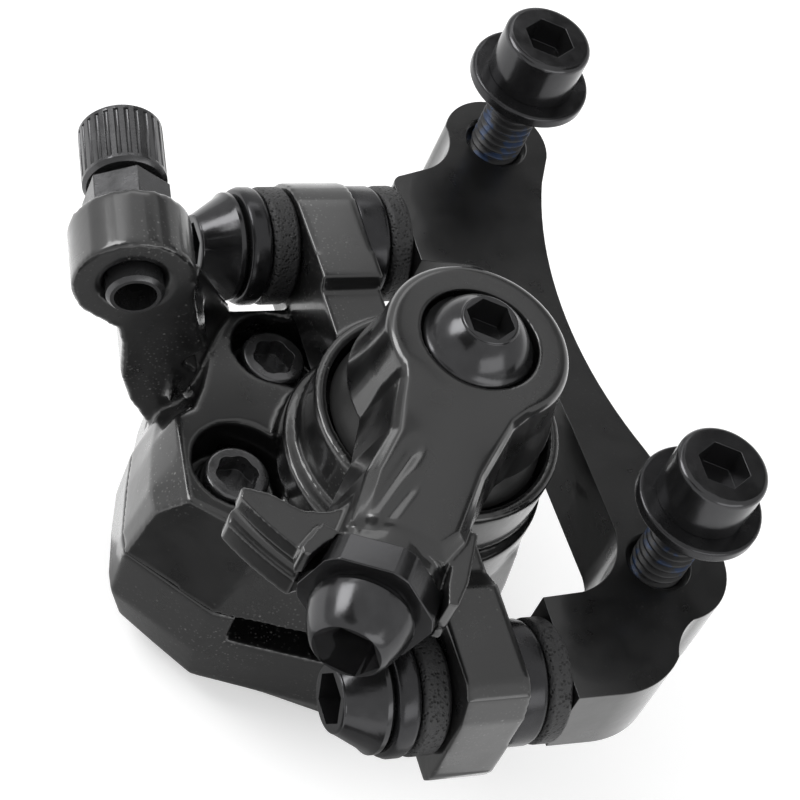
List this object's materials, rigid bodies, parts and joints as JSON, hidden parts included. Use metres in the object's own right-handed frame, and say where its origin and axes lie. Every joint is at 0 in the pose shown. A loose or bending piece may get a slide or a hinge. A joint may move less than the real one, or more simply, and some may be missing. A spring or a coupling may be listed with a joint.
{
  "type": "scooter disc brake caliper",
  "caption": "Cable-pulled disc brake caliper with ball-ramp lever, pads and cable adjuster, on a plate bracket with fork bolts.",
  "frame": {"origin": "midway between the two fork bolts, on the bracket's outboard face", "axes": "+Z outboard along the fork bolts and the lever pivot, +Y from the lower fork bolt to the upper one, +X towards the wheel axle"},
  "size_m": [0.0668, 0.0822, 0.0519],
  "materials": {
    "black_cast": "cast aluminium under gloss black paint",
    "black_steel": "black oxide, half gloss",
    "dark_washer": "smooth black steel",
    "sintered_washer": "rough sintered black, pitted",
    "bronze": "sintered bronze",
    "bright_steel": "plain machined steel",
    "friction_material": "dull pressed friction compound",
    "black_plastic": "dull black",
    "black_anodised": "black anodised, knurled"
  },
  "bodies": {
    "bracket": {"adapter_bracket": "black_cast", "fork_bolts": "black_steel", "fork_bolt_washers": "black_steel", "post_bolts": "black_steel", "outer_convex_washers": "dark_washer", "outer_concave_washers": "sintered_washer", "inner_convex_washers": "dark_washer", "inner_concave_washers": "sintered_washer"},
    "caliper": {"outboard_housing": "black_cast", "inboard_housing": "black_cast", "body_screws": "black_steel", "spindle_bush": "bronze", "thrust_washer": "bright_steel", "return_spring": "bright_steel", "pad_spring": "bright_steel"},
    "lever": {"lever_arm": "black_cast", "lever_bolt": "black_steel", "drive_spindle": "bright_steel", "drive_balls": "bright_steel", "dust_cover": "black_plastic", "clamp_plate": "black_steel", "clamp_bolt": "black_steel"},
    "piston": {"pressure_piston": "bright_steel", "outboard_pad_backing": "bright_steel", "outboard_pad_lining": "friction_material"},
    "inboard_pad": {"inboard_pad_backing": "bright_steel", "inboard_pad_lining": "friction_material"},
    "pad_screw": {"pad_adjuster_screw": "black_steel"},
    "lock_nut": {"adjuster_nut": "black_steel"},
    "adjuster": {"barrel_adjuster": "black_anodised"}
  },
  "joints": [
    {"name": "caliper_shift", "type": "slide", "parent": "bracket", "child": "caliper", "axis": [0, 0, 1], "range_m": [-0.0015, 0.0015]},
    {"name": "lever_pull", "type": "hinge", "parent": "caliper", "child": "lever", "pos_m": [-0.0205, -0.0104, 0], "axis": [0, 0, -1], "range_deg": [0, 40], "stiffness_Nm_per_rad": 0.15, "springref_deg": -34.38},
    {"name": "piston_push", "type": "slide", "parent": "caliper", "child": "piston", "axis": [0, 0, -1], "range_m": [0, 0.0012]},
    {"name": "inboard_pad_set", "type": "slide", "parent": "caliper", "child": "inboard_pad", "axis": [0, 0, 1], "range_m": [0, 0.001]},
    {"name": "pad_screw_turn", "type": "hinge", "parent": "inboard_pad", "child": "pad_screw", "pos_m": [-0.0205, -0.0104, 0], "axis": [0, 0, 1], "range_deg": [0, 360]},
    {"name": "adjuster_out", "type": "slide", "parent": "caliper", "child": "lock_nut", "axis": [0.1616, 0.9869, 0], "range_m": [0, 0.004]},
    {"name": "adjuster_turn", "type": "hinge", "parent": "lock_nut", "child": "adjuster", "pos_m": [-0.0527, 0.0028, 0.0085], "axis": [0.1616, 0.9869, 0], "range_deg": [0, 1440]}
  ],
  "couplings": [
    {"joint": "lever_pull", "follows": "piston_push", "rad_per_m": 581.77},
    {"joint": "pad_screw_turn", "follows": "inboard_pad_set", "rad_per_m": 6283.2},
    {"joint": "adjuster_turn", "follows": "adjuster_out", "rad_per_m": 6283.2}
  ]
}
